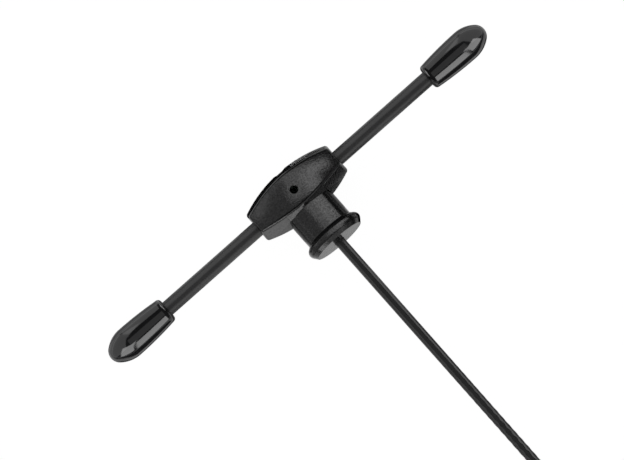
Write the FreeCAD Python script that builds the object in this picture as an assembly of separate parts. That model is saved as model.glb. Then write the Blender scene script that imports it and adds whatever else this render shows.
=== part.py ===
import FreeCAD, Part
import math
import os

# T-shaped dipole receiver antenna with its coaxial lead, in millimetres.
# X runs along the two arms, the lead leaves along -Y, and the front with the pin hole looks up.
# The antenna lies on its back: Z = 0 is the floor, with the origin under the crossing of arms and lead.

# Moulded housing: leaf outline on the parting plane, measured from the arm axis
HOUSING_HALF_LENGTH = 6.68
MIDDLE_RISE = 3.58
END_RISE = 2.20
MIDDLE_DROP = 3.32
END_DROP = 1.98

# Moulded housing: depth, crown, draft in degrees and rounding of one half
HALF_DEPTH = 4.05
LAND_HALF_LENGTH = 1.5
CROWN_SINK = 1.3
WALL_DRAFT = 16.0
END_DRAFT = 3.0
FRONT_EDGE_RADIUS = 0.45
GATE_NOTCH_WIDTH = 1.9
GATE_NOTCH_FLOOR = 0.8
GATE_NOTCH_DEPTH = 0.31
PIN_HOLE_DIAMETER = 1.0
PIN_HOLE_CHAMFER = 0.07

# Neck and flange, turned about the lead's axis
NECK_RADIUS = 3.35
NECK_END = 6.17
FLANGE_RADIUS = 4.04
FLANGE_ROUND = 0.68
FLANGE_RIM = 7.05
FLANGE_END = 8.0
FLANGE_FACE_RADIUS = 3.5
EXIT_CHAMFER = 0.12

# Arms: spring wire in a plastic sleeve, with a soft cap on each tip.
# CAP_TIP_SHARE is the radius of the cap's very tip as a share of the cap's radius.
WIRE_DIAMETER = 0.8
WIRE_START = 1.3
WIRE_END = 28.5
SLEEVE_DIAMETER = 2.0
SLEEVE_START = 3.2
SLEEVE_END = 29.0
CAP_MOUTH = 21.7
CAP_TIP = 31.1
CAP_RADIUS = 2.07
CAP_DOME_LENGTH = 3.1
CAP_TIP_SHARE = 0.72
CAP_MOUTH_RADIUS = 1.66
CAP_LIP_ROUND = 0.5
FIT = 0.02

# Feed board inside the housing, slotted for the wires and the lead
BOARD_HALF_LENGTH = 2.5
BOARD_TOP_EDGE = 1.2
BOARD_LOW_EDGE = 1.8
BOARD_THICKNESS = 0.6
LEAD_SLOT_END = 1.2
WIRE_SOLDER_RADIUS = 0.72
WIRE_SOLDER_SPAN = (1.5, 2.3)
BRAID_SOLDER_RADIUS = 0.85
BRAID_SOLDER_SPAN = (1.42, 1.75)
CORE_SOLDER_RADIUS = 0.32
CORE_SOLDER_SPAN = (0.65, 1.05)

# Coaxial lead: layers, and how far each one is stripped back at the board
CABLE_DIAMETER = 1.37
BRAID_DIAMETER = 1.13
DIELECTRIC_DIAMETER = 0.90
CORE_DIAMETER = 0.30
JACKET_START = 2.6
BRAID_START = 1.4
DIELECTRIC_START = 1.22
CORE_START = 0.7

# Micro coaxial snap connector on the far end, lying with its mouth up
SHELL_THICKNESS = 0.18
CRIMP_ENTRY = 72.0
JACKET_STRIP = 73.0
BRAID_STRIP = 73.75
DIELECTRIC_STRIP = 74.1
RING_CENTRE = 75.35
RING_RADIUS = 1.3
RING_HEIGHT = 1.75
RING_SLOT_WIDTH = 1.0
RING_LIP = 0.08
RING_LIP_HEIGHT = 0.35
CRIMP_SEAM = 0.16
SPINE_WIDTH = 1.0
INSULATOR_TOP = 1.2
CONTACT_RADIUS = 0.40
CONTACT_BORE_RADIUS = 0.26
CONTACT_BASE = 0.45
CONTACT_FLOOR = 0.75
CONTACT_TOP = 1.5
CONTACT_SLIT = 0.12

# Heights that follow from the sizes above
AXIS_Z = HALF_DEPTH
BOARD_TOP_Z = AXIS_Z - CORE_DIAMETER / 2 - FIT
CONNECTOR_AXIS_Z = CABLE_DIAMETER / 2 + FIT + SHELL_THICKNESS

# Route of the lead: straight out of the neck, down to the floor, and up into the connector
CABLE_ROUTE = [
    (0.0, -JACKET_START, AXIS_Z),
    (0.0, -13.0, AXIS_Z),
    (0.0, -25.0, 2.75),
    (0.0, -38.0, 1.25),
    (0.0, -51.0, 0.72),
    (0.0, -62.0, CONNECTOR_AXIS_Z),
    (0.0, -JACKET_STRIP, CONNECTOR_AXIS_Z),
]
ARC_SHARE = 0.45

X_AXIS = FreeCAD.Vector(1, 0, 0)
Y_AXIS = FreeCAD.Vector(0, 1, 0)
Z_AXIS = FreeCAD.Vector(0, 0, 1)
ORIGIN = FreeCAD.Vector(0, 0, 0)
REACH = HOUSING_HALF_LENGTH + FLANGE_END + HALF_DEPTH


def point(x, y, z=0.0):
    return FreeCAD.Vector(x, y, z)


def line(start, end):
    return Part.LineSegment(start, end).toShape()


def box(x_span, y_span, z_span):
    corner = point(x_span[0], y_span[0], z_span[0])
    return Part.makeBox(x_span[1] - x_span[0], y_span[1] - y_span[0], z_span[1] - z_span[0], corner)


def rod_x(radius, start, end):
    """Cylinder on the arm axis, from one X to a larger one."""
    return Part.makeCylinder(radius, end - start, point(start, 0, AXIS_Z), X_AXIS)


def rod_y(radius, near, far, z):
    """Cylinder along the lead, between two distances from the arm axis towards the lead's far end."""
    return Part.makeCylinder(radius, far - near, point(0, -far, z), Y_AXIS)


def tube_y(outer, inner, near, far, z):
    return rod_y(outer, near, far, z).cut(rod_y(inner, near, far, z))


def above(shape, z):
    """The part of a shape over a level."""
    return shape.common(box((-REACH, REACH), (-REACH, REACH), (z, z + REACH)))


def mirrored_x(shape):
    return shape.mirror(ORIGIN, X_AXIS)


def housing_outline(z):
    """Leaf outline of the crosspiece at one height: two shallow arcs between two straight ends."""
    inset = z * math.tan(math.radians(WALL_DRAFT))
    end = HOUSING_HALF_LENGTH - z * math.tan(math.radians(END_DRAFT))
    right_top = point(end, END_RISE - inset, z)
    left_top = point(-end, END_RISE - inset, z)
    left_low = point(-end, inset - END_DROP, z)
    right_low = point(end, inset - END_DROP, z)
    upper = Part.Arc(right_top, point(0, MIDDLE_RISE - inset, z), left_top).toShape()
    lower = Part.Arc(left_low, point(0, inset - MIDDLE_DROP, z), right_low).toShape()
    return Part.Wire([upper, line(left_top, left_low), lower, line(right_low, right_top)])


def crown_radius():
    run = HOUSING_HALF_LENGTH - LAND_HALF_LENGTH
    return (run ** 2 + CROWN_SINK ** 2) / (2 * CROWN_SINK)


def crown_height(x):
    """Depth of one half over the parting plane: a flat land, then an arc down to each end."""
    beyond = max(abs(x) - LAND_HALF_LENGTH, 0.0)
    radius = crown_radius()
    return HALF_DEPTH - radius + math.sqrt(radius ** 2 - beyond ** 2)


def crown_prism():
    side = HOUSING_HALF_LENGTH + FRONT_EDGE_RADIUS
    middle = (side + LAND_HALF_LENGTH) / 2

    def on_crown(x):
        return point(x, -REACH, crown_height(x))

    right_foot = point(side, -REACH)
    left_foot = point(-side, -REACH)
    right_arc = Part.Arc(on_crown(side), on_crown(middle), on_crown(LAND_HALF_LENGTH)).toShape()
    left_arc = Part.Arc(on_crown(-LAND_HALF_LENGTH), on_crown(-middle), on_crown(-side)).toShape()
    profile = Part.Wire([
        line(left_foot, right_foot),
        line(right_foot, on_crown(side)),
        right_arc,
        line(on_crown(LAND_HALF_LENGTH), on_crown(-LAND_HALF_LENGTH)),
        left_arc,
        line(on_crown(-side), left_foot),
    ])
    return Part.Face(profile).extrude(Y_AXIS * (2 * REACH))


def edge_points(edge, count=5):
    first, last = edge.ParameterRange
    return [edge.valueAt(first + (last - first) * i / (count - 1)) for i in range(count)]


def rounded_edges(solid, tolerance=1e-4):
    """Every edge of a half but those in the parting plane and the seams where the land meets the arcs."""
    found = []
    for edge in solid.Edges:
        points = edge_points(edge)
        parting = all(abs(p.z) < tolerance for p in points)
        seam = all(abs(abs(p.x) - LAND_HALF_LENGTH) < tolerance for p in points)
        if not parting and not seam:
            found.append(edge)
    return found


def crosspiece_half():
    """Front half of the crosspiece over the parting plane, drafted, crowned and rounded."""
    drafted = Part.makeLoft([housing_outline(0), housing_outline(HALF_DEPTH)], True, True)
    half = drafted.common(crown_prism()).Solids[0]
    return half.makeFillet(FRONT_EDGE_RADIUS, rounded_edges(half))


def tangent_point(outside, centre, radius, side):
    """Where a straight flank from a point meets a round rim, on the outer side of the profile."""
    away = outside - centre
    turn = side * math.acos(radius / away.Length)
    angle = math.atan2(away.y, away.x) + turn
    return centre + point(math.cos(angle), math.sin(angle)) * radius


def neck_and_flange():
    """Round neck with a bead-like flange and a flat end face."""
    root = point(NECK_RADIUS, 0)
    throat = point(NECK_RADIUS, -NECK_END)
    face_edge = point(FLANGE_FACE_RADIUS, -FLANGE_END)
    rim_centre = point(FLANGE_RADIUS - FLANGE_ROUND, -FLANGE_RIM)
    rim = rim_centre + X_AXIS * FLANGE_ROUND
    upper = tangent_point(throat, rim_centre, FLANGE_ROUND, -1)
    lower = tangent_point(face_edge, rim_centre, FLANGE_ROUND, 1)
    profile = Part.Wire([
        line(ORIGIN, root),
        line(root, throat),
        line(throat, upper),
        Part.Arc(upper, rim, lower).toShape(),
        line(lower, face_edge),
        line(face_edge, point(0, -FLANGE_END)),
        line(point(0, -FLANGE_END), ORIGIN),
    ])
    return Part.Face(profile).revolve(ORIGIN, Y_AXIS, 360)


def gate_notch():
    """Trough with sloping sides across the crest of the upper edge, where the mould was filled."""
    floor_y = MIDDLE_RISE - GATE_NOTCH_DEPTH
    over = MIDDLE_RISE + GATE_NOTCH_DEPTH
    half_floor = GATE_NOTCH_FLOOR / 2
    half_mouth = GATE_NOTCH_WIDTH / 2
    corners = [
        point(-half_floor, floor_y, -REACH),
        point(half_floor, floor_y, -REACH),
        point(half_mouth, MIDDLE_RISE, -REACH),
        point(half_mouth, over, -REACH),
        point(-half_mouth, over, -REACH),
        point(-half_mouth, MIDDLE_RISE, -REACH),
    ]
    return Part.Face(Part.makePolygon(corners + corners[:1])).extrude(Z_AXIS * (2 * REACH))


def housing_body():
    """Outside of the moulding, on the arm axis at height zero."""
    front = crosspiece_half()
    back = front.mirror(ORIGIN, Z_AXIS)
    body = front.fuse(back).fuse(neck_and_flange()).removeSplitter()
    return body.cut(gate_notch())


def feed_board():
    board = box((-BOARD_HALF_LENGTH, BOARD_HALF_LENGTH), (-BOARD_LOW_EDGE, BOARD_TOP_EDGE),
                (BOARD_TOP_Z - BOARD_THICKNESS, BOARD_TOP_Z))
    through = (BOARD_TOP_Z - 2 * BOARD_THICKNESS, BOARD_TOP_Z + BOARD_THICKNESS)
    wire_half = WIRE_DIAMETER / 2 + FIT
    lead_half = BRAID_DIAMETER / 2 + FIT
    slot = box((WIRE_START - FIT, BOARD_HALF_LENGTH + REACH), (-wire_half, wire_half), through)
    lead_slot = box((-lead_half, lead_half), (-BOARD_LOW_EDGE - REACH, -LEAD_SLOT_END), through)
    return board.cut(slot).cut(mirrored_x(slot)).cut(lead_slot)


def radiator_wire():
    return rod_x(WIRE_DIAMETER / 2, WIRE_START, WIRE_END)


def arm_sleeve():
    outer = rod_x(SLEEVE_DIAMETER / 2, SLEEVE_START, SLEEVE_END)
    return outer.cut(rod_x(WIRE_DIAMETER / 2 + FIT, SLEEVE_START, SLEEVE_END))


def cap_dome(shoulder):
    """Two tangent arcs from the cap's widest place to its tip: a wide one, then a tight one on the axis."""
    tip_radius = CAP_TIP_SHARE * CAP_RADIUS
    corner = CAP_DOME_LENGTH ** 2 + CAP_RADIUS ** 2 - 2 * CAP_DOME_LENGTH * tip_radius
    wide_radius = corner / (2 * (CAP_RADIUS - tip_radius))
    wide_centre = point(shoulder, CAP_RADIUS - wide_radius)
    tip_centre = point(CAP_TIP - tip_radius, 0)
    meeting = (tip_centre - wide_centre).normalize()
    wide_middle = (Y_AXIS + meeting).normalize()
    tip_middle = (X_AXIS + meeting).normalize()
    joint = wide_centre + meeting * wide_radius
    wide = Part.Arc(point(shoulder, CAP_RADIUS), wide_centre + wide_middle * wide_radius, joint)
    tight = Part.Arc(joint, tip_centre + tip_middle * tip_radius, point(CAP_TIP, 0))
    return [wide.toShape(), tight.toShape()]


def end_cap():
    """Soft cap turned about the arm axis: rounded lip, long swelling side, dome, blind bore."""
    shoulder = CAP_TIP - CAP_DOME_LENGTH
    run = shoulder - CAP_MOUTH
    swell = CAP_RADIUS - CAP_MOUTH_RADIUS
    side_radius = (run ** 2 + swell ** 2) / (2 * swell)

    def on_side(x):
        return point(x, CAP_RADIUS - side_radius + math.sqrt(side_radius ** 2 - (shoulder - x) ** 2))

    lip_side = on_side(CAP_MOUTH + CAP_LIP_ROUND)
    lip_face = point(CAP_MOUTH, lip_side.y - CAP_LIP_ROUND)
    diagonal = CAP_LIP_ROUND * math.sqrt(0.5)
    lip_middle = point(CAP_MOUTH + CAP_LIP_ROUND - diagonal, lip_side.y - CAP_LIP_ROUND + diagonal)
    crest = point(shoulder, CAP_RADIUS)
    tip = point(CAP_TIP, 0)
    bore = SLEEVE_DIAMETER / 2 + FIT
    profile = Part.Wire([
        Part.Arc(lip_face, lip_middle, lip_side).toShape(),
        Part.Arc(lip_side, on_side((lip_side.x + shoulder) / 2), crest).toShape(),
        *cap_dome(shoulder),
        line(tip, point(SLEEVE_END + FIT, 0)),
        line(point(SLEEVE_END + FIT, 0), point(SLEEVE_END + FIT, bore)),
        line(point(SLEEVE_END + FIT, bore), point(CAP_MOUTH, bore)),
        line(point(CAP_MOUTH, bore), lip_face),
    ])
    cap = Part.Face(profile).revolve(ORIGIN, X_AXIS, 360)
    cap.translate(Z_AXIS * AXIS_Z)
    return cap


def wire_solder():
    """Saddle of solder over a wire, on the board to both sides of its slot."""
    saddle = above(rod_x(WIRE_SOLDER_RADIUS, *WIRE_SOLDER_SPAN), BOARD_TOP_Z)
    return saddle.cut(radiator_wire())


def braid_solder():
    saddle = above(rod_y(BRAID_SOLDER_RADIUS, *BRAID_SOLDER_SPAN, AXIS_Z), BOARD_TOP_Z)
    return saddle.cut(rod_y(BRAID_DIAMETER / 2, BRAID_START, JACKET_START, AXIS_Z))


def core_solder():
    saddle = above(rod_y(CORE_SOLDER_RADIUS, *CORE_SOLDER_SPAN, AXIS_Z), BOARD_TOP_Z)
    return saddle.cut(feed_core())


def feed_braid():
    return tube_y(BRAID_DIAMETER / 2, DIELECTRIC_DIAMETER / 2, BRAID_START, JACKET_START, AXIS_Z)


def feed_dielectric():
    return tube_y(DIELECTRIC_DIAMETER / 2, CORE_DIAMETER / 2, DIELECTRIC_START, JACKET_START, AXIS_Z)


def feed_core():
    return rod_y(CORE_DIAMETER / 2, CORE_START, JACKET_START, AXIS_Z)


def cable_path():
    """Straight runs joined by tangent arcs, each as large as its two runs allow."""
    points = [point(*p) for p in CABLE_ROUTE]
    edges = []
    radii = []
    start = points[0]
    for before, corner, after in zip(points, points[1:], points[2:]):
        back = before - corner
        onward = after - corner
        turn = math.pi - back.getAngle(onward)
        cut_back = ARC_SHARE * min(back.Length, onward.Length)
        radius = cut_back / math.tan(turn / 2)
        radii.append(radius)
        arc_start = corner + back.normalize() * cut_back
        arc_end = corner + onward.normalize() * cut_back
        inward = (back + onward).normalize()
        middle = corner + inward * (radius / math.cos(turn / 2) - radius)
        edges.append(line(start, arc_start))
        edges.append(Part.Arc(arc_start, middle, arc_end).toShape())
        start = arc_end
    edges.append(line(start, points[-1]))
    return Part.Wire(edges), radii


def coax_cable():
    path, radii = cable_path()
    section = Part.Face(Part.Wire(Part.makeCircle(CABLE_DIAMETER / 2, point(*CABLE_ROUTE[0]), Y_AXIS)))
    tube = path.makePipe(section)
    expected = section.Area * path.Length
    print("lead: bend radii", [round(r, 1) for r in radii], "length", round(path.Length, 2))
    print("lead: volume", round(tube.Volume, 3), "section times length", round(expected, 3))
    return tube


def crimp_barrel(inner, near, far):
    """Rolled barrel round the lead, with its seam on top."""
    barrel = tube_y(inner + SHELL_THICKNESS, inner, near, far, CONNECTOR_AXIS_Z)
    seam = box((-CRIMP_SEAM / 2, CRIMP_SEAM / 2), (-far, -near),
               (CONNECTOR_AXIS_Z, CONNECTOR_AXIS_Z + REACH))
    return barrel.cut(seam)


def connector_shell():
    """One folded strip: cup ring with its slot towards the lead, spine, and two crimp barrels."""
    centre = point(0, -RING_CENTRE, 0)
    inner = RING_RADIUS - SHELL_THICKNESS
    ring = Part.makeCylinder(RING_RADIUS, RING_HEIGHT, centre)
    cup_floor = centre + Z_AXIS * SHELL_THICKNESS
    ring = ring.cut(Part.makeCylinder(inner - RING_LIP, RING_HEIGHT, cup_floor))
    relief = RING_HEIGHT - SHELL_THICKNESS - RING_LIP_HEIGHT
    ring = ring.cut(Part.makeCylinder(inner, relief, cup_floor))
    slot = box((-RING_SLOT_WIDTH / 2, RING_SLOT_WIDTH / 2), (-RING_CENTRE, -RING_CENTRE + 2 * RING_RADIUS),
               (SHELL_THICKNESS, RING_HEIGHT + REACH))
    jacket_crimp = crimp_barrel(CABLE_DIAMETER / 2 + FIT, CRIMP_ENTRY, JACKET_STRIP)
    braid_crimp = crimp_barrel(BRAID_DIAMETER / 2 + FIT, JACKET_STRIP + FIT, BRAID_STRIP)
    spine = box((-SPINE_WIDTH / 2, SPINE_WIDTH / 2), (-RING_CENTRE, -CRIMP_ENTRY), (0, SHELL_THICKNESS))
    return ring.cut(slot).fuse([spine, jacket_crimp, braid_crimp]).removeSplitter()


def connector_insulator():
    """Moulded disc in the cup, with an arm out through the slot that carries the core."""
    centre = point(0, -RING_CENTRE, SHELL_THICKNESS)
    disc_radius = RING_RADIUS - SHELL_THICKNESS - FIT
    height = INSULATOR_TOP - SHELL_THICKNESS
    disc = Part.makeCylinder(disc_radius, height, centre)
    arm_half = RING_SLOT_WIDTH / 2 - FIT
    arm = box((-arm_half, arm_half), (-RING_CENTRE, -DIELECTRIC_STRIP - FIT),
              (SHELL_THICKNESS, INSULATOR_TOP))
    pocket = Part.makeCylinder(CONTACT_RADIUS + FIT, height, point(0, -RING_CENTRE, CONTACT_BASE))
    core_bore = rod_y(CORE_DIAMETER / 2 + FIT, DIELECTRIC_STRIP, RING_CENTRE, CONNECTOR_AXIS_Z)
    return disc.fuse(arm).removeSplitter().cut(pocket).cut(core_bore)


def connector_contact():
    """Slit socket for the mating pin, standing on the floor of the insulator's pocket."""
    centre = point(0, -RING_CENTRE, CONTACT_BASE)
    socket = Part.makeCylinder(CONTACT_RADIUS, CONTACT_TOP - CONTACT_BASE, centre)
    bore = Part.makeCylinder(CONTACT_BORE_RADIUS, CONTACT_TOP, point(0, -RING_CENTRE, CONTACT_FLOOR))
    slit = box((-CONTACT_RADIUS, CONTACT_RADIUS),
               (-RING_CENTRE - CONTACT_SLIT / 2, -RING_CENTRE + CONTACT_SLIT / 2),
               (INSULATOR_TOP, CONTACT_TOP))
    return socket.cut(bore).cut(slit)


def connector_braid():
    return tube_y(BRAID_DIAMETER / 2, DIELECTRIC_DIAMETER / 2, JACKET_STRIP, BRAID_STRIP, CONNECTOR_AXIS_Z)


def connector_dielectric():
    return tube_y(DIELECTRIC_DIAMETER / 2, CORE_DIAMETER / 2, JACKET_STRIP, DIELECTRIC_STRIP,
                  CONNECTOR_AXIS_Z)


def connector_core():
    return rod_y(CORE_DIAMETER / 2, JACKET_STRIP, RING_CENTRE - CONTACT_RADIUS, CONNECTOR_AXIS_Z)


def centre_housing(inner_pieces):
    """The moulding, seated tightly round everything that runs into it."""
    body = housing_body()
    body.translate(Z_AXIS * AXIS_Z)
    hole_radius = PIN_HOLE_DIAMETER / 2
    hole = Part.makeCylinder(hole_radius, REACH, point(0, 0, BOARD_TOP_Z))
    hole_chamfer = Part.makeCone(hole_radius, hole_radius + PIN_HOLE_CHAMFER, PIN_HOLE_CHAMFER,
                                 point(0, 0, AXIS_Z + HALF_DEPTH - PIN_HOLE_CHAMFER))
    exit_chamfer = Part.makeCone(CABLE_DIAMETER / 2 + EXIT_CHAMFER, CABLE_DIAMETER / 2, EXIT_CHAMFER,
                                 point(0, -FLANGE_END, AXIS_Z), Y_AXIS)
    lead = rod_y(CABLE_DIAMETER / 2, JACKET_START, FLANGE_END, AXIS_Z)
    return body.cut([lead, exit_chamfer, hole, hole_chamfer] + inner_pieces)


def build():
    left_right = {
        "radiator_wire": radiator_wire(),
        "arm_sleeve": arm_sleeve(),
        "wire_solder": wire_solder(),
    }
    nodes = {}
    for name, right in left_right.items():
        nodes[name + "_right"] = right
        nodes[name + "_left"] = mirrored_x(right)
    nodes["feed_board"] = feed_board()
    nodes["braid_solder"] = braid_solder()
    nodes["core_solder"] = core_solder()
    nodes["feed_braid"] = feed_braid()
    nodes["feed_dielectric"] = feed_dielectric()
    nodes["feed_core"] = feed_core()
    nodes["centre_housing"] = centre_housing(list(nodes.values()))
    nodes["end_cap_right"] = end_cap()
    nodes["end_cap_left"] = mirrored_x(nodes["end_cap_right"])
    nodes["coax_cable"] = coax_cable()
    nodes["connector_shell"] = connector_shell()
    nodes["connector_insulator"] = connector_insulator()
    nodes["connector_contact"] = connector_contact()
    nodes["connector_braid"] = connector_braid()
    nodes["connector_dielectric"] = connector_dielectric()
    nodes["connector_core"] = connector_core()
    return nodes


def main():
    os.makedirs("parts", exist_ok=True)
    for name, shape in build().items():
        solid = shape.Solids[0] if len(shape.Solids) == 1 else shape
        print(name, "solids", len(shape.Solids), "valid", shape.isValid(), "volume", round(shape.Volume, 3))
        solid.exportStep(f"parts/{name}.step")


main()
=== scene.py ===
import math

import bmesh
import bpy
from mathutils import Matrix, Vector


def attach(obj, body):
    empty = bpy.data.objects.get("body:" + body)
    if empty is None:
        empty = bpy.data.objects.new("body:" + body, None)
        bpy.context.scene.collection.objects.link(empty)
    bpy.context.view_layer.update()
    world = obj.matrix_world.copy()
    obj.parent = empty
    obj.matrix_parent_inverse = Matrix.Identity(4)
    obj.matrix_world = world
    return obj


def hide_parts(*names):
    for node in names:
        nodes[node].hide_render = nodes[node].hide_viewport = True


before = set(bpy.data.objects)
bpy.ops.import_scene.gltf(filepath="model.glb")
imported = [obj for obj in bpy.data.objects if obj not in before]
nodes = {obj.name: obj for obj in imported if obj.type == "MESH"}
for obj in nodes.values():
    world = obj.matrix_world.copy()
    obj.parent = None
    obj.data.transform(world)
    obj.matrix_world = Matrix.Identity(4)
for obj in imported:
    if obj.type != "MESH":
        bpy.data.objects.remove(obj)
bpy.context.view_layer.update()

# Lengths are in millimetres: arms along X, lead towards -Y, the front with the pin hole up
MM = 0.001
AXIS_Z = 4.05

CONNECTOR = ("connector_shell", "connector_insulator", "connector_contact", "connector_braid",
             "connector_dielectric", "connector_core")


# Shader nodes
def new_material(name):
    mat = bpy.data.materials.new(name)
    mat.use_nodes = True
    tree = mat.node_tree
    return mat, tree, tree.nodes["Principled BSDF"]


def texture_input(tree, scale):
    """Object coordinates stretched so that one unit is the given number of millimetres on each axis."""
    coords = tree.nodes.new("ShaderNodeTexCoord")
    mapping = tree.nodes.new("ShaderNodeMapping")
    mapping.inputs["Scale"].default_value = [1.0 / (s * MM) for s in scale]
    tree.links.new(coords.outputs["Object"], mapping.inputs["Vector"])
    return mapping.outputs["Vector"]


def noise(tree, scale, detail, rough):
    node = tree.nodes.new("ShaderNodeTexNoise")
    node.inputs["Scale"].default_value = 1.0
    node.inputs["Detail"].default_value = detail
    node.inputs["Roughness"].default_value = rough
    tree.links.new(texture_input(tree, scale), node.inputs["Vector"])
    return node.outputs["Fac"]


def ramp_value(tree, fac, low, high, start=0.3, end=0.7):
    node = tree.nodes.new("ShaderNodeMapRange")
    node.inputs["From Min"].default_value = start
    node.inputs["From Max"].default_value = end
    node.inputs["To Min"].default_value = low
    node.inputs["To Max"].default_value = high
    tree.links.new(fac, node.inputs["Value"])
    return node.outputs["Result"]


def ramp_colour(tree, fac, low, high, start=0.3, end=0.7):
    node = tree.nodes.new("ShaderNodeValToRGB")
    first, last = node.color_ramp.elements
    first.position, first.color = start, (*low, 1)
    last.position, last.color = end, (*high, 1)
    tree.links.new(fac, node.inputs["Fac"])
    return node.outputs["Color"]


def coat(tree, shader, tint, dark, pale, sheen, smooth, rough):
    """Colour between dark and pale by one pattern, roughness between smooth and rough by another."""
    tree.links.new(ramp_colour(tree, tint, dark, pale), shader.inputs["Base Color"])
    tree.links.new(ramp_value(tree, sheen, smooth, rough), shader.inputs["Roughness"])


def add_bump(tree, shader, height, distance, strength=1.0, before=None):
    node = tree.nodes.new("ShaderNodeBump")
    node.inputs["Strength"].default_value = strength
    node.inputs["Distance"].default_value = distance * MM
    tree.links.new(height, node.inputs["Height"])
    if before is not None:
        tree.links.new(before, node.inputs["Normal"])
    tree.links.new(node.outputs["Normal"], shader.inputs["Normal"])


def maths(tree, operation, *values):
    node = tree.nodes.new("ShaderNodeMath")
    node.operation = operation
    for socket, value in zip(node.inputs, values):
        if isinstance(value, float):
            socket.default_value = value
        else:
            tree.links.new(value, socket)
    return node.outputs["Value"]


def product(tree, first, *others):
    for value in others:
        first = maths(tree, "MULTIPLY", first, value)
    return first


def one_less(tree, value):
    return maths(tree, "SUBTRACT", 1.0, value)


def held(tree, value, reach):
    return maths(tree, "MINIMUM", maths(tree, "MAXIMUM", value, -reach), reach)


def split_axes(tree, vector):
    node = tree.nodes.new("ShaderNodeSeparateXYZ")
    tree.links.new(vector, node.inputs["Vector"])
    return node.outputs["X"], node.outputs["Y"], node.outputs["Z"]


def unit_vector(tree, *axes):
    joined = tree.nodes.new("ShaderNodeCombineXYZ")
    for value, socket in zip(axes, joined.inputs):
        tree.links.new(value, socket)
    unit = tree.nodes.new("ShaderNodeVectorMath")
    unit.operation = "NORMALIZE"
    tree.links.new(joined.outputs["Vector"], unit.inputs[0])
    return unit.outputs["Vector"]


def surface(tree):
    """Position and normal of the surface, each as three values."""
    place = tree.nodes.new("ShaderNodeTexCoord").outputs["Object"]
    normal = tree.nodes.new("ShaderNodeNewGeometry").outputs["Normal"]
    return split_axes(tree, place), split_axes(tree, normal)


# Fine forms of the moulding and the caps that only their reflections show
CROWN_RADIUS = 12.0
CROWN_REACH = 2.3
LAND_RADIUS = 14.0
LAND_REACH = 1.5
NECK_START = -2.45
NECK_FLATNESS = 0.55
NECK_EDGE_POWER = 6.0
RIM_BAND = (-7.5, -6.8)
RIM_FLATNESS = 0.25
WALL_FACING = -0.6
COVE_GROWN = 1.2
COVE_ENDS = (2.9, 3.0)
COVE_OUT = 1.0
COVE_LIFT = 1.3
TURN_START = 24.5
TURN_FULL = 28.2
TURN_END = 31.0
TURN_LEAN = 0.13
LIP_START = 21.6
LIP_END = 22.5
LIP_LEAN = 0.7


def moulded_normal(tree):
    """The crosspiece's faces are slightly crowned both ways, the neck's front is flatter than a circle, the
    flange's rim is level, and the wall has a small cove on both sides of the neck."""
    (x, y, _), (nx, ny, nz) = surface(tree)
    on_neck = maths(tree, "LESS_THAN", y, NECK_START * MM)
    off_neck = one_less(tree, on_neck)
    crown = product(tree, maths(tree, "ABSOLUTE", nz), off_neck)
    lean_x = maths(tree, "DIVIDE", held(tree, x, LAND_REACH * MM), LAND_RADIUS * MM)
    lean_y = maths(tree, "DIVIDE", held(tree, y, CROWN_REACH * MM), CROWN_RADIUS * MM)

    off_edge = one_less(tree, maths(tree, "POWER", maths(tree, "ABSOLUTE", nx), NECK_EDGE_POWER))
    narrowed = one_less(tree, product(tree, on_neck, off_edge, 1.0 - NECK_FLATNESS))
    on_rim = product(tree, maths(tree, "GREATER_THAN", y, RIM_BAND[0] * MM),
                     maths(tree, "LESS_THAN", y, RIM_BAND[1] * MM))
    levelled = one_less(tree, product(tree, on_rim, 1.0 - RIM_FLATNESS))

    on_wall = product(tree, maths(tree, "LESS_THAN", ny, WALL_FACING), off_neck)
    out = maths(tree, "ABSOLUTE", x)
    ended = ramp_value(tree, out, 1.0, 0.0, COVE_ENDS[0] * MM, COVE_ENDS[1] * MM)
    cove = product(tree, on_wall, ended, ramp_value(tree, out, 0.0, 1.0, 0.0, COVE_GROWN * MM))
    turned_x = product(tree, cove, COVE_OUT, maths(tree, "SIGN", x))
    turned_z = product(tree, cove, COVE_LIFT, maths(tree, "SIGN", nz))

    new_x = maths(tree, "MULTIPLY_ADD", lean_x, crown, product(tree, nx, narrowed))
    new_y = maths(tree, "MULTIPLY_ADD", lean_y, crown, product(tree, ny, levelled))
    return unit_vector(tree, maths(tree, "ADD", new_x, turned_x), new_y, maths(tree, "ADD", nz, turned_z))


def cap_normal(tree):
    """The cap's side begins to turn before its widest place, and its mouth is rounded softly."""
    (x, _, _), (nx, ny, nz) = surface(tree)
    out = maths(tree, "ABSOLUTE", x)
    begun = ramp_value(tree, out, 0.0, TURN_LEAN, TURN_START * MM, TURN_FULL * MM)
    ended = ramp_value(tree, out, 1.0, 0.0, TURN_FULL * MM, TURN_END * MM)
    mouth = ramp_value(tree, out, LIP_LEAN, 0.0, LIP_START * MM, LIP_END * MM)
    turn = maths(tree, "SUBTRACT", product(tree, begun, ended), mouth)
    lean = product(tree, turn, maths(tree, "SIGN", x))
    return unit_vector(tree, maths(tree, "ADD", nx, lean), ny, nz)


# Materials
def housing_material():
    """Black moulding with a fine spark-eroded grain and faint flow shading."""
    mat, tree, shader = new_material("housing_black")
    grain = noise(tree, (0.22, 0.22, 0.22), 1.0, 0.6)
    cloud = noise(tree, (2.2, 2.2, 2.2), 3.0, 0.5)
    coat(tree, shader, cloud, (0.0030, 0.0030, 0.0032), (0.0042, 0.0042, 0.0044), cloud, 0.18, 0.22)
    tree.links.new(ramp_value(tree, grain, 0.32, 0.62), shader.inputs["Specular IOR Level"])
    shader.inputs["IOR"].default_value = 1.45
    add_bump(tree, shader, grain, 0.012, 1.0, moulded_normal(tree))
    return mat


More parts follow.
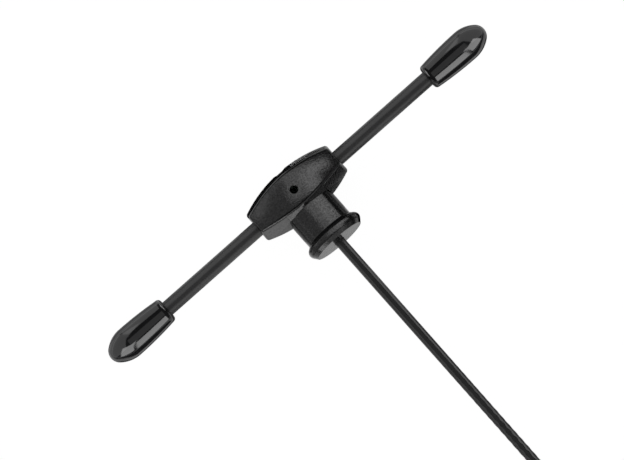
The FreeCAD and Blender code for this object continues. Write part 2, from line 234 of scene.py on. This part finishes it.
def sleeve_material():
    """Extruded black sleeve: satin, with faint draw lines along the arm."""
    mat, tree, shader = new_material("sleeve_black")
    lines = noise(tree, (6.0, 0.12, 0.12), 2.0, 0.5)
    cloud = noise(tree, (1.5, 0.6, 0.6), 2.0, 0.5)
    coat(tree, shader, cloud, (0.010, 0.010, 0.0105), (0.014, 0.014, 0.0145), lines, 0.30, 0.40)
    add_bump(tree, shader, lines, 0.006, 0.4)
    return mat


def cap_material():
    """Polished soft black cap with a very slight orange peel."""
    mat, tree, shader = new_material("cap_gloss_black")
    peel = noise(tree, (0.9, 0.9, 0.9), 2.0, 0.4)
    coat(tree, shader, peel, (0.0040, 0.0040, 0.0044), (0.0052, 0.0052, 0.0056), peel, 0.085, 0.12)
    shader.inputs["IOR"].default_value = 1.5
    add_bump(tree, shader, peel, 0.004, 0.35, cap_normal(tree))
    return mat


def jacket_material():
    """Thin black jacket, semi-gloss."""
    mat, tree, shader = new_material("jacket_black")
    fine = noise(tree, (0.25, 0.6, 0.25), 2.0, 0.5)
    coat(tree, shader, fine, (0.007, 0.007, 0.0075), (0.011, 0.011, 0.0115), fine, 0.22, 0.30)
    add_bump(tree, shader, fine, 0.004, 0.4)
    return mat


def metal_material(name, dark, pale, rough, scale=(0.15, 0.15, 0.15)):
    mat, tree, shader = new_material(name)
    fine = noise(tree, scale, 3.0, 0.6)
    shader.inputs["Metallic"].default_value = 1.0
    coat(tree, shader, fine, dark, pale, fine, rough - 0.06, rough + 0.08)
    add_bump(tree, shader, fine, 0.004, 0.4)
    return mat


def plain_plastic(name, dark, pale, rough, scale=(0.4, 0.4, 0.4)):
    mat, tree, shader = new_material(name)
    fine = noise(tree, scale, 3.0, 0.5)
    coat(tree, shader, fine, dark, pale, fine, rough - 0.05, rough + 0.05)
    add_bump(tree, shader, fine, 0.006, 0.3)
    return mat


def dress(names, material):
    for name in names:
        data = nodes[name].data
        data.materials.clear()
        data.materials.append(material)


cap_black = cap_material()
jacket_black = jacket_material()
dress(["centre_housing"], housing_material())
dress(["arm_sleeve_left", "arm_sleeve_right"], sleeve_material())
dress(["radiator_wire_left", "radiator_wire_right"],
      metal_material("spring_steel", (0.45, 0.45, 0.44), (0.6, 0.6, 0.58), 0.32, (3.0, 0.08, 0.08)))
dress(["feed_board"], plain_plastic("board_green", (0.02, 0.10, 0.04), (0.03, 0.14, 0.06), 0.4))
dress(["wire_solder_left", "wire_solder_right", "braid_solder", "core_solder"],
      metal_material("solder", (0.55, 0.55, 0.56), (0.68, 0.68, 0.68), 0.25))
dress(["feed_braid", "connector_braid"],
      metal_material("tinned_braid", (0.35, 0.33, 0.31), (0.62, 0.6, 0.57), 0.38, (0.1, 0.1, 0.1)))
dress(["feed_dielectric", "connector_dielectric"],
      plain_plastic("milky_dielectric", (0.74, 0.74, 0.72), (0.84, 0.84, 0.82), 0.42))
dress(["feed_core", "connector_core"],
      metal_material("silvered_core", (0.7, 0.66, 0.6), (0.82, 0.79, 0.74), 0.28, (0.08, 0.5, 0.08)))
dress(["connector_shell", "connector_contact"],
      metal_material("gilt", (0.78, 0.54, 0.20), (0.9, 0.68, 0.32), 0.26))
dress(["connector_insulator"],
      plain_plastic("pale_moulding", (0.60, 0.58, 0.52), (0.70, 0.68, 0.62), 0.45))


# Meshes
WELD_DISTANCE = 1e-7


def mesh_object(name, verts, faces, material):
    data = bpy.data.meshes.new(name)
    data.from_pydata([tuple(v) for v in verts], [], faces)
    data.materials.append(material)
    obj = bpy.data.objects.new(name, data)
    bpy.context.scene.collection.objects.link(obj)
    return obj


def weld(obj):
    """Joins doubled points, turns the faces outwards and shades them smooth."""
    bm = bmesh.new()
    bm.from_mesh(obj.data)
    bmesh.ops.remove_doubles(bm, verts=bm.verts, dist=WELD_DISTANCE)
    bmesh.ops.recalc_face_normals(bm, faces=bm.faces)
    bm.to_mesh(obj.data)
    bm.free()
    obj.data.polygons.foreach_set("use_smooth", [True] * len(obj.data.polygons))


def grid_faces(rows, columns):
    """Quads of a tube of rings, closed round the column direction."""
    faces = []
    for r in range(rows - 1):
        for c in range(columns):
            d = (c + 1) % columns
            faces.append((r * columns + c, r * columns + d, (r + 1) * columns + d, (r + 1) * columns + c))
    return faces


# Caps
CAP_MOUTH = 21.7
CAP_TIP = 31.1
CAP_RADIUS = 2.07
CAP_DOME = 3.1
CAP_TIP_SHARE = 0.72
CAP_MOUTH_RADIUS = 1.66
CAP_LIP = 0.5
CAP_BORE = 1.02
CAP_BOTTOM = 29.02
BORE_RING = 0.4
BORE_CHAMFER = (0.06, 0.05)
LIP_STEPS = 12
SIDE_STEPS = 40
DOME_STEPS = 24
CAP_SIDES = 128


def cap_profile():
    """Radius against distance along the arm, from the bore's bottom round the lip to the tip."""
    shoulder = CAP_TIP - CAP_DOME
    swell = CAP_RADIUS - CAP_MOUTH_RADIUS
    side = ((shoulder - CAP_MOUTH) ** 2 + swell ** 2) / (2 * swell)

    def on_side(x):
        return CAP_RADIUS - side + math.sqrt(side ** 2 - (shoulder - x) ** 2)

    lip_x = CAP_MOUTH + CAP_LIP
    lip_r = on_side(lip_x) - CAP_LIP
    points = [(CAP_BOTTOM, 0.0), (CAP_BOTTOM, CAP_BORE), (CAP_MOUTH + BORE_RING, CAP_BORE),
              (CAP_MOUTH + BORE_CHAMFER[0], CAP_BORE), (CAP_MOUTH, CAP_BORE + BORE_CHAMFER[1])]
    for i in range(LIP_STEPS + 1):
        a = math.pi / 2 * i / LIP_STEPS
        points.append((lip_x - CAP_LIP * math.cos(a), lip_r + CAP_LIP * math.sin(a)))
    for i in range(1, SIDE_STEPS + 1):
        x = lip_x + (shoulder - lip_x) * i / SIDE_STEPS
        points.append((x, on_side(x)))
    return points + cap_dome(shoulder)


def cap_dome(shoulder):
    """Points on the two tangent arcs from the cap's widest place to its tip."""
    tip_radius = CAP_TIP_SHARE * CAP_RADIUS
    corner = CAP_DOME ** 2 + CAP_RADIUS ** 2 - 2 * CAP_DOME * tip_radius
    wide_radius = corner / (2 * (CAP_RADIUS - tip_radius))
    wide_centre = (shoulder, CAP_RADIUS - wide_radius)
    tip_centre = (CAP_TIP - tip_radius, 0.0)
    meeting = math.atan2(tip_centre[0] - wide_centre[0], tip_centre[1] - wide_centre[1])
    arcs = [(wide_centre, wide_radius, 0.0, meeting), (tip_centre, tip_radius, meeting, math.pi / 2)]
    points = []
    for centre, radius, start, end in arcs:
        for i in range(1, DOME_STEPS + 1):
            a = start + (end - start) * i / DOME_STEPS
            points.append((centre[0] + radius * math.sin(a), centre[1] + radius * math.cos(a)))
    return points


def cap(side):
    profile = cap_profile()
    verts = []
    for x, r in profile:
        for c in range(CAP_SIDES):
            a = 2 * math.pi * c / CAP_SIDES
            verts.append((side * x * MM, r * math.cos(a) * MM, (AXIS_Z + r * math.sin(a)) * MM))
    name = "right" if side > 0 else "left"
    obj = mesh_object("cap_" + name, verts, grid_faces(len(profile), CAP_SIDES), cap_black)
    weld(obj)
    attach(obj, "root")
    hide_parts("end_cap_" + name)
    return obj


caps = [cap(1), cap(-1)]

# Lead
CABLE_RADIUS = 0.685
PLUG_Z = 0.885
BRAID_PITCH = 1.2
BRAID_CROSSINGS = 4
BRAID_RELIEF = 0.03
BRAID_SHOWS_FROM = 22.0
BRAID_GROWS_OVER = 14.0
LEAD_STEPS = 96
LEAD_SIDES = 64
ROUTE = [
    (0.0, -2.6, AXIS_Z), (0.0, -13.0, AXIS_Z), (0.0, -25.0, 2.75), (0.0, -38.0, 1.25),
    (0.0, -51.0, 0.72), (0.0, -62.0, PLUG_Z), (0.0, -73.0, PLUG_Z),
]


def spline_points():
    """Points along the smooth spline that has the route as its control points."""
    curve = bpy.data.curves.new("lead_line", "CURVE")
    curve.dimensions = "3D"
    curve.resolution_u = LEAD_STEPS
    spline = curve.splines.new("NURBS")
    spline.points.add(len(ROUTE) - 1)
    for p, q in zip(spline.points, ROUTE):
        p.co = (q[0] * MM, q[1] * MM, q[2] * MM, 1.0)
    spline.order_u = 3
    spline.use_endpoint_u = True
    holder = bpy.data.objects.new("lead_line", curve)
    bpy.context.scene.collection.objects.link(holder)
    bpy.context.view_layer.update()
    data = bpy.data.meshes.new_from_object(holder)
    points = [v.co.copy() for v in data.vertices]
    bpy.data.objects.remove(holder)
    bpy.data.meshes.remove(data)
    return points


def braid_relief(travelled, turn):
    """How far the jacket sinks between the crossings of the braid under it, more so away from the housing."""
    grown = min(max((travelled - BRAID_SHOWS_FROM) / BRAID_GROWS_OVER, 0.0), 1.0)
    crossing = math.cos(2 * math.pi * travelled / BRAID_PITCH) * math.cos(BRAID_CROSSINGS * turn)
    return BRAID_RELIEF * grown * (1 + crossing) / 2


def lead():
    path = spline_points()
    verts = []
    travelled = 0.0
    for i, p in enumerate(path):
        if i:
            travelled += (p - path[i - 1]).length
        ahead = (path[min(i + 1, len(path) - 1)] - path[max(i - 1, 0)]).normalized()
        across = Vector((1, 0, 0))
        up = across.cross(ahead).normalized()
        for c in range(LEAD_SIDES):
            a = 2 * math.pi * c / LEAD_SIDES
            radius = CABLE_RADIUS - braid_relief(travelled / MM, a)
            verts.append(p + (across * math.cos(a) + up * math.sin(a)) * (radius * MM))
    faces = grid_faces(len(path), LEAD_SIDES)
    last = (len(path) - 1) * LEAD_SIDES
    faces.append(tuple(range(LEAD_SIDES - 1, -1, -1)))
    faces.append(tuple(range(last, last + LEAD_SIDES)))
    obj = mesh_object("lead_jacket", verts, faces, jacket_black)
    weld(obj)
    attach(obj, "root")
    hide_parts("coax_cable")
    return obj


lead_jacket = lead()

# Floor, pale enough to be white in the picture and dim where the object shades it
FLOOR_HALF = 1200.0
FLOOR_COLOUR = 0.9
FLOOR_GLOW = 0.96


def flat_mesh(name, corners, height, material):
    verts = [(x * MM, y * MM, height * MM) for x, y in corners]
    return mesh_object(name, verts, [tuple(range(len(corners)))], material)


def floor():
    mat, _, shader = new_material("floor_white")
    shader.inputs["Base Color"].default_value = (FLOOR_COLOUR, FLOOR_COLOUR, FLOOR_COLOUR, 1)
    shader.inputs["Roughness"].default_value = 1.0
    shader.inputs["Specular IOR Level"].default_value = 0.0
    shader.inputs["Emission Color"].default_value = (1, 1, 1, 1)
    shader.inputs["Emission Strength"].default_value = FLOOR_GLOW
    half = FLOOR_HALF
    obj = flat_mesh("floor", [(-half, -half), (half, -half), (half, half), (-half, half)], 0.0, mat)


floor()

# Camera axes, also used to place the lights: right and up in the picture, and back towards the camera
TILT = math.radians(9.5)
ROLL = math.radians(41.5)
ALONG = Vector((1, 0, 0))
RISE = Vector((0, math.cos(TILT), math.sin(TILT)))
BACK = Vector((0, -math.sin(TILT), math.cos(TILT)))
RIGHT = ALONG * math.cos(ROLL) - RISE * math.sin(ROLL)
UP = ALONG * math.sin(ROLL) + RISE * math.cos(ROLL)

LIGHT_DISTANCE = 0.6


def receivers(name, pieces):
    group = bpy.data.collections.new(name)
    for piece in pieces:
        group.objects.link(piece)
    return group


def panel(name, direction, side, spread, radiance, group):
    """Softbox that faces the object: spread is its two angular widths, the first along side."""
    aim = direction.normalized()
    across = (side - aim * side.dot(aim)).normalized()
    data = bpy.data.lights.new(name, "AREA")
    data.shape = "RECTANGLE"
    data.size = 2 * LIGHT_DISTANCE * math.tan(math.radians(spread[0] / 2))
    data.size_y = 2 * LIGHT_DISTANCE * math.tan(math.radians(spread[1] / 2))
    data.energy = 4 * radiance * data.size * data.size_y
    obj = bpy.data.objects.new(name, data)
    bpy.context.scene.collection.objects.link(obj)
    turn = Matrix((across, aim.cross(across), aim)).transposed().to_4x4()
    obj.matrix_world = Matrix.Translation(Vector((0, 0, AXIS_Z * MM)) + aim * LIGHT_DISTANCE) @ turn
    obj.visible_camera = False
    obj.light_linking.receiver_collection = group


def leaning(along, rise):
    """Direction that leans from the camera's axis by two angles, along the arms and away from the lead."""
    length = math.hypot(along, rise)
    if length == 0:
        return BACK.copy()
    axis = (ALONG * along + RISE * rise) / length
    return BACK * math.cos(math.radians(length)) + axis * math.sin(math.radians(length))


cap_pieces = receivers("cap_pieces", caps + [nodes[n] for n in CONNECTOR])
right_cap = receivers("right_cap", caps[:1])
left_cap = receivers("left_cap", caps[1:])
sleeve_pieces = receivers("sleeve_pieces", [nodes["arm_sleeve_left"], nodes["arm_sleeve_right"]])
lead_pieces = receivers("lead_pieces", [lead_jacket])
moulded_pieces = receivers("moulded_pieces", [nodes["centre_housing"]])

# One softbox before the glossy caps, one behind and one above, and for each cap three towards its own ends
panel("key", leaning(0, -55), ALONG, (31, 42), 3.6, cap_pieces)
panel("back_wall", leaning(0, 74), ALONG, (31, 52), 0.92, cap_pieces)
panel("overhead", leaning(0, -3), ALONG, (42, 42), 0.38, cap_pieces)
for side, name, group in ((1, "right", right_cap), (-1, "left", left_cap)):
    panel("key_tip_" + name, leaning(41 * side, -35), ALONG + RISE * (0.22 * side), (40, 46), 3.6, group)
    panel("tip_" + name, leaning(58 * side, 34), ALONG + RISE * (0.5 * side), (70, 93), 0.78, group)
    panel("lip_" + name, leaning(-78 * side, 38), ALONG, (46, 36), 3.0, group)

# Broad and even for the satin sleeves, from the sides for the lead
panel("sleeve_back", leaning(0, 52), ALONG, (110, 60), 1.0, sleeve_pieces)
panel("sleeve_front", leaning(0, -70), ALONG, (110, 58), 1.05, sleeve_pieces)
panel("sleeve_fill", leaning(0, -5), ALONG, (60, 60), 0.31, sleeve_pieces)
panel("lead_right", leaning(66, 0), RISE, (60, 38), 1.5, lead_pieces)
panel("lead_left", leaning(-60, 0), RISE, (60, 44), 0.75, lead_pieces)
panel("lead_fill", leaning(0, 0), RISE, (60, 60), 0.28, lead_pieces)

# Patches for the housing
panel("sky_patch", leaning(14, 21), ALONG - RISE * 0.35, (38, 38), 1.5, moulded_pieces)
panel("sky_middle", leaning(24, 15), ALONG, (22, 27), 0.95, moulded_pieces)
panel("sky_right", leaning(44, 20), ALONG + RISE * 0.05, (20, 10), 2.8, moulded_pieces)
panel("left_back", leaning(-28, 49), ALONG, (62, 36), 0.95, moulded_pieces)
panel("left_middle", leaning(-46, 13), ALONG, (92, 36), 0.46, moulded_pieces)
panel("left_front", leaning(-52, -58), ALONG, (44, 40), 2.8, moulded_pieces)
panel("front_middle", leaning(3, -57), ALONG, (40, 24), 0.8, moulded_pieces)
panel("front_right", leaning(40, -40), ALONG, (50, 50), 0.2, moulded_pieces)

# Painted shade in reflections: sheets just above the white floor, seen only by glossy surfaces, darken or dim
# the reflected floor around the object
DARK_HEIGHT = 0.1
SHADE_HEIGHT = 0.05
SHADE_CAP_HEIGHT = 0.07


# Glow of a painted shade sheet: how bright the shaded floor looks in reflections
def emissive(name, radiance):
    mat = bpy.data.materials.new(name)
    mat.use_nodes = True
    tree = mat.node_tree
    tree.nodes.clear()
    glow = tree.nodes.new("ShaderNodeEmission")
    glow.inputs["Strength"].default_value = radiance
    out = tree.nodes.new("ShaderNodeOutputMaterial")
    tree.links.new(glow.outputs[0], out.inputs["Surface"])
    return mat


def painted_shade_card(name, corners, radiance=0.0, height=DARK_HEIGHT):
    """Painted shade: a black or dimly glowing sheet just above the floor, under and beside the object. It is
    hidden from the camera, from diffuse light and from shadows, so only reflections see it, as floor in
    shade.
    """
    obj = flat_mesh(name, corners, height, emissive(name, radiance))
    obj.visible_camera = False
    obj.visible_diffuse = False
    obj.visible_shadow = False
    obj.visible_transmission = False


painted_shade_card("dark_right", [(18, -400), (400, -400), (400, -7.5), (60, -7.5), (54, -14), (40, -14), (30, -7.5),
                    (18, -7.5)])
painted_shade_card("dark_left", [(-400, -400), (-20, -400), (-20, -7.5), (-30, -7.5), (-40, -14), (-54, -14), (-60, -7.5),
                   (-400, -7.5)])
painted_shade_card("dark_wall", [(3.8, -11.5), (12.0, -11.5), (12.0, -4.3), (8.0, -4.9), (7.0, -5.5), (5.4, -6.1),
                   (3.8, -6.4)])
painted_shade_card("dark_far", [(6, -400), (18, -400), (18, -20), (6, -20)])
painted_shade_card("dark_back_left", [(-9.0, 2.6), (-1.0, 2.6), (2.0, 5.0), (2.0, 14.0), (-9.0, 14.0)])
painted_shade_card("dark_back_right", [(2.0, 4.9), (4.4, 4.55), (5.4, 4.25), (7.0, 3.85), (9.0, 3.85), (9.0, 40.0),
                         (2.0, 40.0)])
painted_shade_card("shade_arms", [(-34, -4.5), (34, -4.5), (34, 4.5), (-34, 4.5)], 0.55, SHADE_HEIGHT)
painted_shade_card("shade_cap_right", [(16, -4.5), (34, -4.5), (34, 4), (16, 4)], 0.12, SHADE_CAP_HEIGHT)
painted_shade_card("shade_behind_right", [(20, 4), (34, 4), (36, 16), (20, 16)], 0.4, SHADE_CAP_HEIGHT)
painted_shade_card("shade_cap_left", [(-34, -4.5), (-16, -4.5), (-16, 4), (-34, 4)], 0.12, SHADE_CAP_HEIGHT)
painted_shade_card("shade_behind_left", [(-34, 4), (-20, 4), (-20, 16), (-36, 16)], 0.4, SHADE_CAP_HEIGHT)
painted_shade_card("shade_end", [(-4.5, -12), (3.8, -12), (3.8, -8.1), (-4.5, -8.1)], 0.6, SHADE_HEIGHT)
painted_shade_card("shade_lead", [(-6, -70), (6, -70), (6, -12), (-6, -12)], 0.4, SHADE_HEIGHT)

# World: strength of the room, and the angles above the floor between which white gives way to it
ROOM_STRENGTH = 0.05
WHITE_UNTIL = math.radians(3.2)
ROOM_FROM = math.radians(3.6)


def studio_world():
    """White just above the floor, and a dim even room higher up."""
    world = bpy.data.worlds.new("studio")
    bpy.context.scene.world = world
    world.use_nodes = True
    tree = world.node_tree
    _, _, z = split_axes(tree, tree.nodes.new("ShaderNodeTexCoord").outputs["Generated"])
    strength = ramp_value(tree, z, 1.0, ROOM_STRENGTH, math.sin(WHITE_UNTIL), math.sin(ROOM_FROM))
    white = tree.nodes["Background"]
    white.inputs["Color"].default_value = (1, 1, 1, 1)
    tree.links.new(strength, white.inputs["Strength"])


studio_world()

# Camera: picture size and place of the crossing in pixels, and pixels to a millimetre
PICTURE = (624, 460)
CROSSING = (297.59, 193.65)
SCALE = 8.0
LENS = 250.0
SENSOR = 36.0


def camera():
    aside = (PICTURE[0] / 2 - CROSSING[0]) / SCALE
    below = (PICTURE[1] / 2 - CROSSING[1]) / SCALE
    target = Vector((0, 0, AXIS_Z)) + RIGHT * aside - UP * below
    place = target + BACK * (PICTURE[0] / SCALE * LENS / SENSOR)
    data = bpy.data.cameras.new("camera")
    data.sensor_fit = "HORIZONTAL"
    data.sensor_width = SENSOR
    data.lens = LENS
    data.clip_start = 0.01
    data.clip_end = 20
    obj = bpy.data.objects.new("camera", data)
    bpy.context.scene.collection.objects.link(obj)
    turn = Matrix((RIGHT, UP, BACK)).transposed().to_4x4()
    obj.matrix_world = Matrix.Translation(place * MM) @ turn
    bpy.context.scene.camera = obj


camera()
bpy.context.scene.view_settings.view_transform = "Standard"
